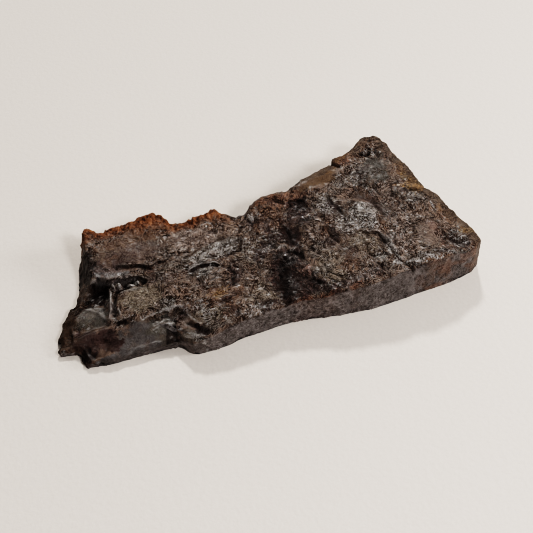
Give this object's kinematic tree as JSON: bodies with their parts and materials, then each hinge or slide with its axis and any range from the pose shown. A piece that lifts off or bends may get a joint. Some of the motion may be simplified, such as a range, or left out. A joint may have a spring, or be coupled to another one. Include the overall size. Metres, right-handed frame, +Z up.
{
  "type": "pallasite meteorite",
  "caption": "Loose, flat, wedge-shaped slab of weathered stony-iron with broken edges, lying on its flat underside.",
  "frame": {"origin": "middle of the slab's flat underside, where it rests", "axes": "+X along the slab from its thin end to its thick end, +Y towards the rusty back rim, +Z up"},
  "size_m": [0.0762, 0.0358, 0.0082],
  "materials": {
    "weathered_iron_stone": "dark brown to black weathered skin with a dull varnish gloss, orange-brown rust on the back rim"
  },
  "bodies": {
    "root": {"meteorite": "weathered_iron_stone"}
  },
  "joints": []
}
